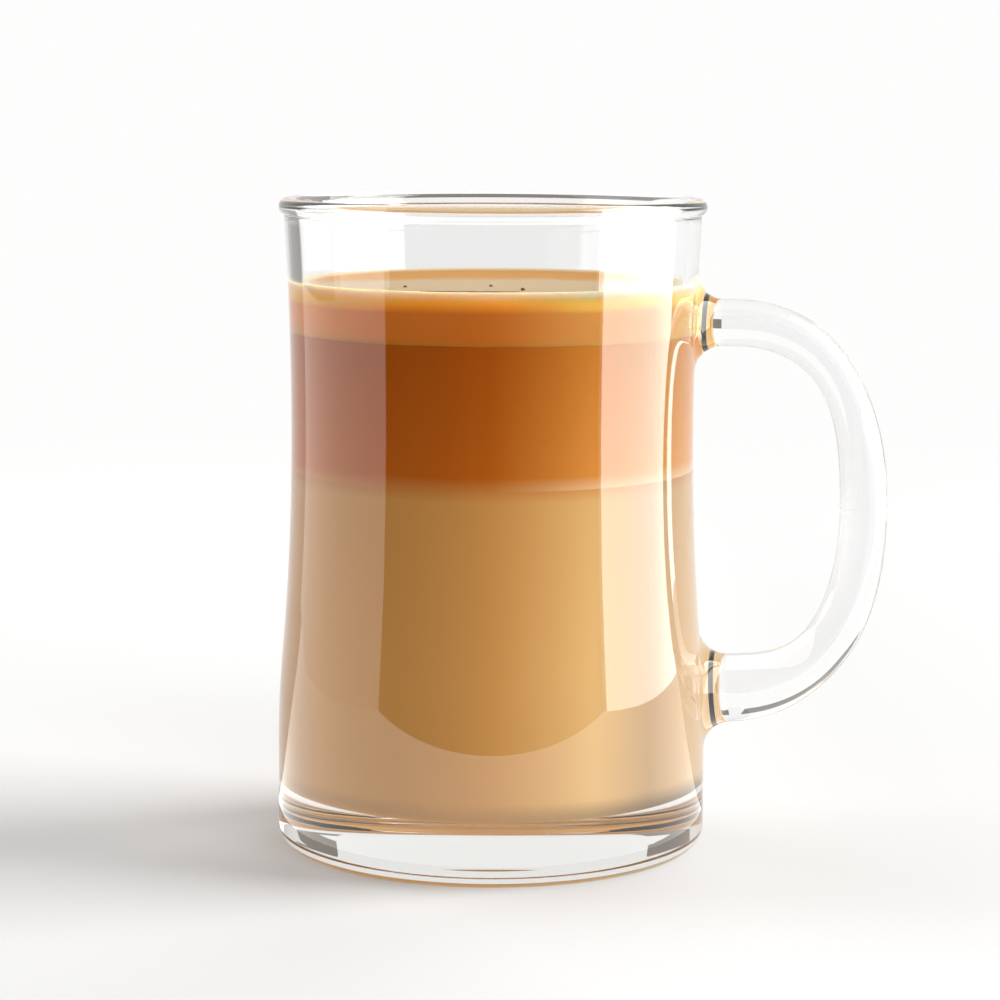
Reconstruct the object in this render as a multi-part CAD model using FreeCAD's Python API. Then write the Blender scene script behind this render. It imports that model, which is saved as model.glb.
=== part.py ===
"""A clear pressed-glass mug holding a layered masala chai.

The mug is one piece of glass: a round body on a thick solid base, drawn in to
a gentle waist and opening again to a beaded rim, with a round-section ear
handle that swells towards its lower root.  The drink fills the bowl in three
level layers: milk tea at the bottom, brewed tea over it and froth on top.

Frame: origin on the mug's axis at the plane it stands on, +Z up, and the
handle towards +X.  Sizes are in millimetres.  Each piece is written to
parts/NODE.step.
"""

import FreeCAD
import Part
import math
import os

Vector = FreeCAD.Vector

# --- driving sizes -------------------------------------------------------

# Body, outside
MUG_HEIGHT = 122.4
BASE_RADIUS = 40.5
SHOULDER_HEIGHT = 19.0  # the wall stands straight up to here
SHOULDER_ARC = 200.0  # radius of the outward curve above the straight foot
WAIST_HEIGHT = 80.0
WAIST_INSET = 2.7  # how much narrower the waist is than the base
NECK_FLARE = 1.2  # how much wider the neck is than the waist
FOOT_CORNER = 4.0

# Rim bead
RIM_BULGE = 1.0  # how far the bead stands out of the neck
RIM_ROUND = 1.5
RIM_BLEND = 0.8  # fillet between the bead and the neck

# Glass thickness
WALL = 2.6
FLOOR = 11.8
FLOOR_CORNER = 4.0  # inside, where the wall meets the floor

# Shallow hollow under the base, so that the mug stands on a ring
PUNT_DEPTH = 0.8
FOOT_RING = 6.0  # width of that ring

# Handle, on its centre line
HANDLE_REACH = 29.7  # from the base's wall out to the back of the ear
ARM_LENGTH = 4.1  # straight part of each arm, from the base's wall
HANDLE_TOP = 23.1  # upper arm below the rim
HANDLE_BOTTOM = 29.7  # lower arm above the table
EAR_FULLNESS = 0.66  # 0.55 gives a half ellipse, more gives a squarer ear
HANDLE_BLEND = 5.0  # fillet between each arm and the wall
UPPER_ROOT_DIAMETER = 8.9
SHOULDER_DIAMETER = 7.8
BACK_DIAMETER = 9.0
LOWER_BEND_DIAMETER = 9.5
LOWER_ROOT_DIAMETER = 13.0
ARM_SECTIONS = 3  # round sections that shape each straight arm
EAR_SECTIONS = 8  # and each half of the ear

# Drink
HEADSPACE = 15.4  # from the froth up to the rim
FROTH_DEPTH = 9.4
BREWED_TEA_DEPTH = 25.8

# --- sizes that follow ---------------------------------------------------

WAIST_RADIUS = BASE_RADIUS - WAIST_INSET
NECK_RADIUS = WAIST_RADIUS + NECK_FLARE
LIP_ROUND = min(RIM_ROUND, 0.49 * (WALL + RIM_BULGE))  # leaves the lip a level top
LIP_HEIGHT = MUG_HEIGHT - LIP_ROUND  # of the centres of the lip's two rounds
LIP_OUTER = NECK_RADIUS + RIM_BULGE - LIP_ROUND  # radius of the outer round's centre
# the bead's round meets the neck this far below level
BEAD_TURN = math.degrees(math.acos((LIP_ROUND - RIM_BULGE) / LIP_ROUND))
NECK_HEIGHT = LIP_HEIGHT - LIP_ROUND * math.sin(math.radians(BEAD_TURN))

UPPER_ARM = MUG_HEIGHT - HANDLE_TOP
LOWER_ARM = HANDLE_BOTTOM

FROTH_LEVEL = MUG_HEIGHT - HEADSPACE
BREWED_TEA_LEVEL = FROTH_LEVEL - FROTH_DEPTH
MILK_TEA_LEVEL = BREWED_TEA_LEVEL - BREWED_TEA_DEPTH

CLEAR_OF = 5.0  # how far a cutting shape runs past what it cuts
CLOSE = 0.1  # how near an edge's box is to the place where it is looked for
AXIS = Vector(0, 0, 1)


# --- outlines, in the XZ plane -------------------------------------------

def point(x, z):
    return Vector(x, 0, z)


def line(a, b):
    return Part.LineSegment(a, b).toShape()


def arc(centre, radius, start_deg, end_deg):
    """The arc about centre from one angle to the other."""
    def at(degrees):
        turned = math.radians(degrees)
        return centre + point(radius * math.cos(turned), radius * math.sin(turned))

    return Part.Arc(at(start_deg), at((start_deg + end_deg) / 2), at(end_deg)).toShape()


def wall_arcs(inset, top):
    """The waisted wall from the shoulder up to the height top, moved in by inset.

    Three arcs meet without a corner.  The first two take the wall from upright
    at the shoulder to upright at the waist, so both turn through one angle,
    whose half has the tangent WAIST_INSET over the height between them.
    """
    rise = WAIST_HEIGHT - SHOULDER_HEIGHT
    lean = 2 * math.atan2(WAIST_INSET, rise)
    lower_radius = rise / math.sin(lean) - SHOULDER_ARC
    neck_rise = NECK_HEIGHT - WAIST_HEIGHT
    upper_radius = (neck_rise ** 2 + NECK_FLARE ** 2) / (2 * NECK_FLARE) + inset
    upper_turn = math.asin((top - WAIST_HEIGHT) / upper_radius)
    return [
        arc(point(BASE_RADIUS - SHOULDER_ARC, SHOULDER_HEIGHT), SHOULDER_ARC - inset,
            0, math.degrees(lean)),
        arc(point(WAIST_RADIUS + lower_radius, WAIST_HEIGHT), lower_radius + inset,
            180 + math.degrees(lean), 180),
        arc(point(WAIST_RADIUS - inset + upper_radius, WAIST_HEIGHT), upper_radius,
            180, 180 - math.degrees(upper_turn)),
    ]


def end_of(edge):
    return edge.valueAt(edge.LastParameter)


def turned(outline):
    """The solid of revolution of a closed outline, its seam away from the handle."""
    face = Part.Face(Part.Wire(outline))
    face.rotate(Vector(), AXIS, 180)
    return face.revolve(Vector(), AXIS, 360)


# --- glass ---------------------------------------------------------------

def body_blank():
    """The outside of the mug's body as a full solid, with foot ring and bead."""
    ring_outer = BASE_RADIUS - FOOT_CORNER
    ring_inner = ring_outer - FOOT_RING
    punt_radius = (ring_inner ** 2 + PUNT_DEPTH ** 2) / (2 * PUNT_DEPTH)
    punt_turn = math.degrees(math.asin(ring_inner / punt_radius))
    return turned([
        arc(point(0, PUNT_DEPTH - punt_radius), punt_radius, 90, 90 - punt_turn),
        line(point(ring_inner, 0), point(ring_outer, 0)),
        arc(point(ring_outer, FOOT_CORNER), FOOT_CORNER, -90, 0),
        line(point(BASE_RADIUS, FOOT_CORNER), point(BASE_RADIUS, SHOULDER_HEIGHT)),
        *wall_arcs(0, NECK_HEIGHT),
        arc(point(LIP_OUTER, LIP_HEIGHT), LIP_ROUND, -BEAD_TURN, 90),
        line(point(LIP_OUTER, MUG_HEIGHT), point(0, MUG_HEIGHT)),
        line(point(0, MUG_HEIGHT), point(0, PUNT_DEPTH)),
    ])


def bowl():
    """The space inside the mug, opening out over the inner round of the lip."""
    radius = BASE_RADIUS - WALL
    corner = point(radius - FLOOR_CORNER, FLOOR + FLOOR_CORNER)
    wall = wall_arcs(WALL, LIP_HEIGHT)
    lip = end_of(wall[-1]) + point(LIP_ROUND, 0)
    mouth = lip + point(0, LIP_ROUND)
    above = mouth + point(0, CLEAR_OF)
    return turned([
        line(point(0, FLOOR), point(corner.x, FLOOR)),
        arc(corner, FLOOR_CORNER, -90, 0),
        line(point(radius, corner.z), point(radius, SHOULDER_HEIGHT)),
        *wall,
        arc(lip, LIP_ROUND, 180, 90),
        line(mouth, above),
        line(above, point(0, above.z)),
        line(point(0, above.z), point(0, FLOOR)),
    ])


def ear_curves():
    """The ear's centre line as two cubic curves that meet at the back, upright."""
    arm_end = BASE_RADIUS + ARM_LENGTH
    back = BASE_RADIUS + HANDLE_REACH
    middle = (UPPER_ARM + LOWER_ARM) / 2
    out = point(EAR_FULLNESS * (back - arm_end), 0)
    down = point(0, EAR_FULLNESS * (middle - UPPER_ARM))
    curves = []
    for arm in (UPPER_ARM, LOWER_ARM):
        to_arm = down if arm == LOWER_ARM else -down
        poles = [point(arm_end, arm), point(arm_end, arm) + out,
                 point(back, middle) + to_arm, point(back, middle)]
        curve = Part.BezierCurve()
        curve.setPoles(poles if arm == UPPER_ARM else poles[::-1])
        curves.append(curve)
    return curves


def ear_diameter(share):
    """The handle's diameter at a share of the way round the ear.

    It eases from each named diameter to the next like half a cosine wave.
    """
    named = [(0.0, UPPER_ROOT_DIAMETER), (0.3, SHOULDER_DIAMETER), (0.5, BACK_DIAMETER),
             (0.75, LOWER_BEND_DIAMETER), (1.0, LOWER_ROOT_DIAMETER)]
    for (low, before), (high, after) in zip(named, named[1:]):
        if share <= high:
            ease = (1 - math.cos(math.pi * (share - low) / (high - low))) / 2
            return before + (after - before) * ease
    return LOWER_ROOT_DIAMETER


def ring(centre, direction, diameter):
    """A round section across the handle, started from the same side each time."""
    circle = Part.Wire(Part.makeCircle(diameter / 2))
    across = Vector(0, 1, 0)
    circle.Placement = FreeCAD.Placement(
        centre, FreeCAD.Rotation(across, direction.cross(across), direction, "ZXY"))
    return circle


def handle():
    """The ear handle as one smooth tube whose ends are buried in the body."""
    buried = WAIST_RADIUS - WALL - CLEAR_OF
    step = (BASE_RADIUS + ARM_LENGTH - buried) / ARM_SECTIONS
    stations = [buried + step * i for i in range(ARM_SECTIONS)]
    rings = [ring(point(x, UPPER_ARM), point(1, 0), UPPER_ROOT_DIAMETER) for x in stations]
    for half, curve in enumerate(ear_curves()):
        for i in range(half, EAR_SECTIONS + 1):
            along = i / EAR_SECTIONS
            rings.append(ring(curve.value(along), curve.tangent(along)[0],
                              ear_diameter((half + along) / 2)))
    rings += [ring(point(x, LOWER_ARM), point(-1, 0), LOWER_ROOT_DIAMETER)
              for x in reversed(stations)]
    return Part.makeLoft(rings, True, False)


def root_edges(glass, height, diameter):
    """Where an arm of this diameter meets the outside of the wall at a height."""
    def belongs(box):
        at_the_arm = max(abs(box.ZMin - height), abs(box.ZMax - height)) < diameter
        return at_the_arm and WAIST_RADIUS / 2 < box.XMin and box.XMax < BASE_RADIUS + CLOSE

    return [edge for edge in glass.Edges if belongs(edge.BoundBox)]


def glass_mug():
    """The whole mug: body and handle with blended joints, hollowed by the bowl."""
    blank = body_blank()
    neck = [edge for edge in blank.Edges
            if abs(edge.BoundBox.ZMin - NECK_HEIGHT) < CLOSE
            and abs(edge.BoundBox.ZMax - NECK_HEIGHT) < CLOSE]
    blank = blank.makeFillet(RIM_BLEND, neck)
    glass = blank.fuse(handle())
    roots = (root_edges(glass, UPPER_ARM, UPPER_ROOT_DIAMETER)
             + root_edges(glass, LOWER_ARM, LOWER_ROOT_DIAMETER))
    return glass.makeFillet(HANDLE_BLEND, roots).cut(bowl())


# --- drink ---------------------------------------------------------------

def layer(low, high):
    """What fills the bowl between two heights."""
    size = 2 * BASE_RADIUS
    slab = Part.makeBox(size, size, high - low, Vector(-BASE_RADIUS, -BASE_RADIUS, low))
    return bowl().common(slab)


PIECES = {
    "glass_mug": glass_mug,
    "milk_tea": lambda: layer(FLOOR - CLEAR_OF, MILK_TEA_LEVEL),
    "brewed_tea": lambda: layer(MILK_TEA_LEVEL, BREWED_TEA_LEVEL),
    "froth": lambda: layer(BREWED_TEA_LEVEL, FROTH_LEVEL),
}


def main():
    os.makedirs("parts", exist_ok=True)
    for name, make in PIECES.items():
        shape = make()
        solids = shape.Solids
        if len(solids) != 1 or not solids[0].isValid():
            raise RuntimeError(f"{name} is not one sound solid")
        solids[0].exportStep(f"parts/{name}.step")
        print(f"{name}: {solids[0].Volume / 1000:.1f} ml, {len(solids[0].Faces)} faces")


main()
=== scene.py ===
"""Masala chai in its clear glass mug.

The mug's glass, three layers of drink, the spice specks and the skin on the
froth, and a small studio round them are each made by an operator of their own,
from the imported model's boxes and the sizes in the panel.
"""

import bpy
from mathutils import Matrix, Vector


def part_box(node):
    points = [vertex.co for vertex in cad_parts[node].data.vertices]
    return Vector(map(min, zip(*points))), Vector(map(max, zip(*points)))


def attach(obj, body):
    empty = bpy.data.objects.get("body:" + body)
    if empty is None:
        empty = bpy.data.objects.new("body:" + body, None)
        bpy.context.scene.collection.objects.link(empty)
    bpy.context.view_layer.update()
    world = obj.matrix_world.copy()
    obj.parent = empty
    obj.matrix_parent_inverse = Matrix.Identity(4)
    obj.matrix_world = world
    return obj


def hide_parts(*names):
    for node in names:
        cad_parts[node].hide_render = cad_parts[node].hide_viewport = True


bl_info = {
    "name": "Masala chai in a glass mug",
    "version": (1, 0, 0),
    "blender": (4, 5, 0),
    "location": "3D View > Sidebar > Chai",
    "description": "Makes a layered masala chai, its pressed-glass mug and a plain studio",
    "category": "Add Mesh",
}

import math

import bpy
import numpy as np
from bpy.props import FloatProperty, FloatVectorProperty, PointerProperty
from mathutils import Vector

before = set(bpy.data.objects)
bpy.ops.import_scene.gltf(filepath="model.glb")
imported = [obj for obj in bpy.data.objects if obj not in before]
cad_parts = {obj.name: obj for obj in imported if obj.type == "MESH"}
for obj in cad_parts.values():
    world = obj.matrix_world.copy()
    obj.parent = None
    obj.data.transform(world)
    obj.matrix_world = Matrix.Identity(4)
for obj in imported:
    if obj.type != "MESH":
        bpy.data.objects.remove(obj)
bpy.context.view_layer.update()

MM = 0.001
GLASS_LOW, GLASS_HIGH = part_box("glass_mug")
MILK_LOW, MILK_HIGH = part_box("milk_tea")
TEA_LOW, TEA_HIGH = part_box("brewed_tea")
FROTH_LOW, FROTH_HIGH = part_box("froth")
BASE_RADIUS = -GLASS_LOW.x
MUG_HEIGHT = GLASS_HIGH.z
WALL = BASE_RADIUS - MILK_HIGH.x
FLOOR = MILK_LOW.z
SEGMENTS = 240  # of every round piece, the first towards the handle
SAME_POINT = 0.001 * MM
ON_AXIS = 1e-9


# --- sizes and colours ---------------------------------------------------

def length(name, description, millimetres):
    """A size that the panel shows in the scene's units."""
    return FloatProperty(name=name, description=description, default=millimetres * MM,
                         unit="LENGTH", precision=5, min=0.0)


def number(name, description, default):
    """A plain factor."""
    return FloatProperty(name=name, description=description, default=default, min=0.0)


def colour(name, description, default):
    """A linear RGB colour."""
    return FloatVectorProperty(name=name, description=description, default=default,
                               subtype="COLOR", size=3, min=0.0, max=1.0)


class ChaiMugSizes(bpy.types.PropertyGroup):
    """The mug's outline and its handle."""

    shoulder_height: length("Shoulder height", "The wall stands straight up to here", 19.0)
    shoulder_arc: length("Shoulder arc", "Radius of the curve above the straight foot", 200.0)
    waist_height: length("Waist height", "Where the mug is narrowest", 80.0)
    waist_inset: length("Waist inset", "How much narrower the waist is than the base", 2.7)
    neck_flare: length("Neck flare", "How much wider the neck is than the waist", 1.2)
    foot_corner: length("Foot corner", "Radius between the wall and the foot ring", 4.0)
    foot_ring: length("Foot ring", "Width of the flat ring that the mug stands on", 6.0)
    punt_depth: length("Punt depth", "Depth of the hollow inside the foot ring", 0.8)
    rim_round: length("Rim round", "Radius of the lip's rounds", 1.5)
    rim_bulge: length("Rim bulge", "How far the bead stands out of the neck", 1.0)
    rim_blend: length("Rim blend", "Fillet between the bead and the neck", 0.8)
    floor_corner: length("Floor corner", "Inside radius between floor and wall", 4.0)
    handle_reach: length("Handle reach", "From the base's wall to the ear's back", 29.7)
    arm_length: length("Arm length", "Straight part of each arm", 4.1)
    handle_top: length("Handle top", "Upper arm below the rim", 23.1)
    handle_bottom: length("Handle bottom", "Lower arm above the table", 29.7)
    ear_fullness: number("Ear fullness", "0.55 is a half ellipse, more is squarer", 0.66)
    handle_blend: length("Handle blend", "Fillet between each arm and the wall", 5.0)
    upper_root: length("Upper root", "Diameter of the upper arm", 8.9)
    ear_shoulder: length("Ear shoulder", "Diameter at the ear's upper bend", 7.8)
    ear_back: length("Ear back", "Diameter at the ear's back", 9.0)
    ear_bend: length("Ear bend", "Diameter at the ear's lower bend", 9.5)
    lower_root: length("Lower root", "Diameter of the lower arm", 13.0)


class ChaiDrinkSizes(bpy.types.PropertyGroup):
    """How the drink fills the mug, and its colours, some with painted light in them."""

    into_wall: length("Into the wall", "How far the drink reaches into the glass", 0.15)
    mixing: length("Mixing", "Depth over which tea and milk tea run together", 4.6)
    dish_rise: length("Dish rise", "How high the froth climbs towards the glass", 0.35)
    dish_width: length("Dish width", "Width of the ring in which it climbs", 5.0)
    milk_low: colour("Milk tea, low", "Milk tea over the floor", (0.67, 0.325, 0.095))
    milk_high: colour("Milk tea, high", "Milk tea under the brewed tea", (0.63, 0.285, 0.076))
    tea_low: colour("Brewed tea, low", "Brewed tea over the milk tea", (0.50, 0.115, 0.0095))
    tea_high: colour("Brewed tea, high", "Brewed tea under the froth", (0.42, 0.088, 0.0058))
    # The froth turns paler towards its upper edge: painted light for the light that comes in through
    # its top.  The pale edge is partly the froth's own cream and partly a painted highlight.
    froth_low: colour("Froth, low", "Froth over the brewed tea", (0.65, 0.185, 0.026))
    froth_high: colour("Froth, high", "Froth a little below its edge", (0.87, 0.33, 0.037))
    froth_lip: colour("Froth lip", "Froth just below its edge", (0.93, 0.48, 0.085))
    froth_edge: colour("Froth edge", "The pale edge against the glass", (0.80, 0.73, 0.57))
    # The cream and the top ring are partly the froth's own colour and partly painted sheen and
    # highlight.
    cream: colour("Cream", "The pale half of the froth's upper side", (0.43, 0.325, 0.21))
    top_brown: colour("Top brown", "The froth behind the pale half", (0.44, 0.235, 0.087))
    top_ring: colour("Top ring", "The froth's upper side where it climbs the glass",
                     (0.55, 0.44, 0.28))
    speck_dark: colour("Speck, dark", "The darkest of the spice", (0.07, 0.024, 0.008))
    speck_light: colour("Speck, light", "The lightest of the spice", (0.24, 0.085, 0.025))
    skin: colour("Skin", "The wrinkle of skin on the froth", (0.20, 0.12, 0.065))


# --- outlines ------------------------------------------------------------

def evenly(start, end, step):
    """Numbers from start to end, about step apart."""
    return np.linspace(start, end, max(2, round(abs(end - start) / step) + 1))


def arc(centre, radius, start, end, step=7.5):
    """Points (r, z) on a circle from one angle to another, in degrees."""
    turn = np.radians(evenly(start, end, step))
    return np.stack([centre[0] + radius * np.cos(turn), centre[1] + radius * np.sin(turn)], axis=-1)


def wall_circles():
    """The wall's three circles as (r, z, radius), and the height where the first two meet.

    The first is centred inside the mug, level with the shoulder.  The second
    and the third are centred outside it, level with the waist, so that all
    three meet without a corner.
    """
    size = bpy.context.scene.chai_mug
    waist = BASE_RADIUS - size.waist_inset
    rise = size.waist_height - size.shoulder_height
    lean = 2 * math.atan2(size.waist_inset, rise)
    lower = rise / math.sin(lean) - size.shoulder_arc
    bead_drop = math.sqrt(size.rim_round ** 2 - (size.rim_round - size.rim_bulge) ** 2)
    neck_rise = MUG_HEIGHT - size.rim_round - bead_drop - size.waist_height
    upper = (neck_rise ** 2 + size.neck_flare ** 2) / (2 * size.neck_flare)
    meet = size.shoulder_height + size.shoulder_arc * math.sin(lean)
    return ((BASE_RADIUS - size.shoulder_arc, size.shoulder_height, size.shoulder_arc),
            (waist + lower, size.waist_height, lower),
            (waist + upper, size.waist_height, upper), meet)


def wall_radius(height, inset=0.0):
    """The wall's radius at each height, moved in by inset.

    On each circle the radius is the centre's plus or minus the root of the
    circle's own radius squared less the height above its centre squared.
    """
    size = bpy.context.scene.chai_mug
    height = np.asarray(height, float)
    shoulder, lower, upper, meet = wall_circles()
    above = np.maximum(height - shoulder[1], 0)
    foot = shoulder[0] + np.sqrt(np.maximum((shoulder[2] - inset) ** 2 - above ** 2, 0))
    below_waist = lower[0] - np.sqrt((lower[2] + inset) ** 2 - (height - lower[1]) ** 2)
    above_waist = upper[0] - np.sqrt((upper[2] + inset) ** 2 - (height - upper[1]) ** 2)
    body = np.where(height < size.waist_height, below_waist, above_waist)
    return np.where(height < meet, foot, body)


def wall_line(heights, inset=0.0):
    """Points (r, z) of the wall at the heights."""
    return np.stack([wall_radius(heights, inset), heights], axis=-1)


def level_line(start, end, height, step=2.5 * MM):
    """Points (r, z) at one height from one radius to another."""
    radius = evenly(start, end, step)
    return np.stack([radius, np.full(len(radius), height)], axis=-1)


def joined(*runs):
    """One outline from runs of points, without the points that repeat."""
    points = np.vstack(runs)
    apart = np.linalg.norm(np.diff(points, axis=0), axis=1) > SAME_POINT
    return points[np.concatenate([[True], apart])]


def mug_outline():
    """The glass from the punt's centre round the rim to the floor's centre."""
    size = bpy.context.scene.chai_mug
    ring_outer = BASE_RADIUS - size.foot_corner
    ring_inner = ring_outer - size.foot_ring
    punt_radius = (ring_inner ** 2 + size.punt_depth ** 2) / (2 * size.punt_depth)
    punt = level_line(0, ring_inner, 0)
    punt[:, 1] = size.punt_depth - punt_radius + np.sqrt(punt_radius ** 2 - punt[:, 0] ** 2)
    # the blend's circle touches the neck's circle from inside and the bead's from outside
    lip_height = MUG_HEIGHT - size.rim_round
    neck = wall_circles()[2]
    bead = np.array([BASE_RADIUS - size.waist_inset + size.neck_flare + size.rim_bulge
                     - size.rim_round, lip_height])
    blend = touching(neck[:2], neck[2] - size.rim_blend, bead, size.rim_round + size.rim_blend)
    neck_turn = math.degrees(math.atan2(blend[1] - neck[1], blend[0] - neck[0]))
    bead_turn = math.degrees(math.atan2(blend[1] - bead[1], blend[0] - bead[0]))
    neck_top = neck[1] + neck[2] * math.sin(math.radians(neck_turn))
    inner_lip = wall_radius(lip_height, WALL) + size.rim_round
    corner = (BASE_RADIUS - WALL - size.floor_corner, FLOOR + size.floor_corner)
    return joined(
        punt,
        level_line(ring_inner, ring_outer, 0),
        arc((ring_outer, size.foot_corner), size.foot_corner, -90, 0),
        wall_line(outer_heights(size.foot_corner, neck_top)),
        arc(blend, size.rim_blend, neck_turn, bead_turn + 180, 12),
        arc(bead, size.rim_round, bead_turn, 90, 9),
        arc((inner_lip, lip_height), size.rim_round, 90, 180, 9),
        wall_line(evenly(lip_height, corner[1], 2 * MM), WALL),
        arc(corner, size.floor_corner, 0, -90),
        level_line(corner[0], 0, FLOOR))


def touching(first, first_reach, second, second_reach):
    """The lower point that lies at one distance from first and another from second."""
    across = np.subtract(second, first)
    apart = np.hypot(*across)
    along = (apart ** 2 + first_reach ** 2 - second_reach ** 2) / (2 * apart)
    aside = math.sqrt(first_reach ** 2 - along ** 2)
    unit = across / apart
    ends = [first + along * unit + side * aside * np.array([-unit[1], unit[0]]) for side in (-1, 1)]
    return min(ends, key=lambda point: point[1])


# --- the handle's places on the wall -------------------------------------

HALF_WINDOW = 13  # columns and rows of the wall each side of an arm's centre
ROW = 1.0 * MM  # height of those rows
WALL_RINGS = 6  # from the window's edge to the fillet
FILLET_RINGS = 13
EAR_RINGS = 73
JOINING_RINGS = 2  # between the upper fillet and the ear


def arm_heights():
    """The heights of the upper and of the lower arm."""
    size = bpy.context.scene.chai_mug
    return MUG_HEIGHT - size.handle_top, size.handle_bottom


def outer_heights(low, high):
    """Heights up the outer wall, in even rows where the arms join it."""
    upper, lower = arm_heights()
    reach = HALF_WINDOW * ROW
    rows = 2 * HALF_WINDOW + 1
    return np.concatenate([
        evenly(low, lower - reach, 2 * MM)[:-1],
        np.linspace(lower - reach, lower + reach, rows),
        evenly(lower + reach, upper - reach, 2 * MM)[1:-1],
        np.linspace(upper - reach, upper + reach, rows),
        evenly(upper + reach, high, 2 * MM)[1:]])


def window_edge():
    """The columns and rows round a window's edge, once round from its lower right corner."""
    k = np.arange(-HALF_WINDOW, HALF_WINDOW)
    end = np.full(len(k), HALF_WINDOW)
    return np.concatenate([end, -k, -end, k]), np.concatenate([k, end, -k, -end])


def arm_rings(height, radius, up):
    """Rings from the window's edge in to the arm's foot and out along its fillet.

    First each ring blends evenly from the window's edge to the fillet's circle,
    on the wall.  Then the fillet turns through a quarter circle: at turn t the
    ring's radius is the arm's plus blend times (1 - sin t), and the ring stands
    off the wall by blend times (1 - cos t).  The rows count upwards if up is 1
    and downwards if it is -1, so that both arms' rings start on the same side.
    """
    blend = bpy.context.scene.chai_mug.handle_blend
    column, row = window_edge()
    edge_up = row * ROW
    edge_across = wall_radius(height + up * edge_up) * np.sin(2 * np.pi * column / SEGMENTS)
    turn = np.arctan2(edge_up, edge_across)
    share = np.linspace(0, 1, WALL_RINGS + 1)[1:, None]
    across = edge_across * (1 - share) + (radius + blend) * np.cos(turn) * share
    rise = edge_up * (1 - share) + (radius + blend) * np.sin(turn) * share
    off = np.zeros_like(across)
    bend = np.linspace(0, np.pi / 2, FILLET_RINGS)[1:, None]
    ring = radius + blend * (1 - np.sin(bend))
    across = np.vstack([across, ring * np.cos(turn)])
    rise = np.vstack([rise, ring * np.sin(turn)])
    off = np.vstack([off, np.broadcast_to(blend * (1 - np.cos(bend)), ring.shape) + 0 * turn])
    z = height + up * rise
    x = np.sqrt(wall_radius(z) ** 2 - across ** 2) + off
    return np.stack([x, across, z], axis=-1), turn


def ear_rings(upper_turn, lower_turn):
    """Round rings along the ear, from just outside the upper arm to just outside the lower.

    The centre line is two cubic curves, each from an arm's end to the upright
    back.  The diameter eases from each named one to the next like half a
    cosine wave.  Each ring lies across the centre line, and its first point
    turns evenly from the upper arm's to the lower arm's.
    """
    size = bpy.context.scene.chai_mug
    upper, lower = arm_heights()
    arm_end = BASE_RADIUS + size.arm_length
    back = BASE_RADIUS + size.handle_reach
    middle = (upper + lower) / 2
    out = size.ear_fullness * (back - arm_end)
    share = np.linspace(0.02, 0.98, EAR_RINGS)
    along = np.where(share < 0.5, 2 * share, 2 - 2 * share)[:, None]
    arm = np.where(share < 0.5, upper, lower)[:, None]
    level = np.broadcast_to([[0.0, 1.0]], (len(share), 2))
    poles = [arm * level + [arm_end, 0], arm * level + [arm_end + out, 0],
             (middle + size.ear_fullness * (arm - middle)) * level + [back, 0],
             middle * level + [back, 0]]
    weights = [(1 - along) ** 3, 3 * along * (1 - along) ** 2,
               3 * along ** 2 * (1 - along), along ** 3]
    centre = sum(w * p for w, p in zip(weights, poles))
    slope = np.gradient(centre, share, axis=0)
    tangent = slope / np.linalg.norm(slope, axis=1, keepdims=True)
    outward = np.stack([-tangent[:, 1], tangent[:, 0]], axis=-1)
    named_at = [0.0, 0.3, 0.5, 0.75, 1.0]
    named = np.array([size.upper_root, size.ear_shoulder, size.ear_back, size.ear_bend,
                      size.lower_root])
    span = np.clip(np.searchsorted(named_at, share) - 1, 0, len(named_at) - 2)
    low, high = np.take(named_at, span), np.take(named_at, span + 1)
    ease = (1 - np.cos(np.pi * (share - low) / (high - low))) / 2
    radius = (named[span] + (named[span + 1] - named[span]) * ease)[:, None] / 2
    gone = share[:, None]
    turn = upper_turn * (1 - gone) + lower_turn * gone
    x = centre[:, :1] + radius * np.sin(turn) * outward[:, :1]
    z = centre[:, 1:] + radius * np.sin(turn) * outward[:, 1:]
    return np.stack([x, radius * np.cos(turn), z], axis=-1)


# --- meshes --------------------------------------------------------------

def new_piece(name, points, groups, sharp=40):
    """An object at the origin with a smooth mesh; edges over sharp degrees stay sharp.

    Each group is an array of faces that have equally many corners.
    """
    faces = []
    for group in groups:
        faces += np.asarray(group).tolist()
    mesh = bpy.data.meshes.new(name)
    mesh.from_pydata(np.asarray(points).tolist(), [], faces)
    mesh.update()
    mesh.shade_smooth()
    mesh.set_sharp_from_angle(angle=math.radians(sharp))
    piece = bpy.data.objects.new(name, mesh)
    bpy.context.scene.collection.objects.link(piece)
    return piece


def spun(outline, segments=SEGMENTS):
    """Points, rows of quads and end triangles of an outline turned about the axis.

    Point (i, j) is outline point i turned by j steps of a full turn.  Where the
    outline starts or ends on the axis its ring is one point, with triangles
    round it.
    """
    outline = np.asarray(outline, float)
    turn = np.linspace(0, 2 * np.pi, segments, endpoint=False)
    on_axis = outline[:, 0] < ON_AXIS
    rings = outline[~on_axis]
    points = np.stack([rings[:, :1] * np.cos(turn), rings[:, :1] * np.sin(turn),
                       np.repeat(rings[:, 1:], segments, axis=1)], axis=-1).reshape(-1, 3)
    row = np.arange(len(rings) - 1)[:, None] * segments
    here = np.arange(segments)
    after = (here + 1) % segments
    above = row + segments
    quads = np.stack([row + here, row + after, above + after, above + here], axis=-1)
    ends = [np.zeros((0, 3), int)]
    if on_axis[0]:
        points = np.vstack([points, [0, 0, outline[0, 1]]])
        tip = np.full(segments, len(points) - 1)
        ends.append(np.stack([tip, after, here], axis=-1))
    if on_axis[-1]:
        points = np.vstack([points, [0, 0, outline[-1, 1]]])
        last = (len(rings) - 1) * segments
        tip = np.full(segments, len(points) - 1)
        ends.append(np.stack([tip, last + here, last + after], axis=-1))
    return points, quads, np.vstack(ends)


def round_piece(name, outline, segments=SEGMENTS):
    """A closed piece turned about the axis."""
    points, quads, ends = spun(outline, segments)
    return new_piece(name, points, [quads.reshape(-1, 4), ends])


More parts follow.
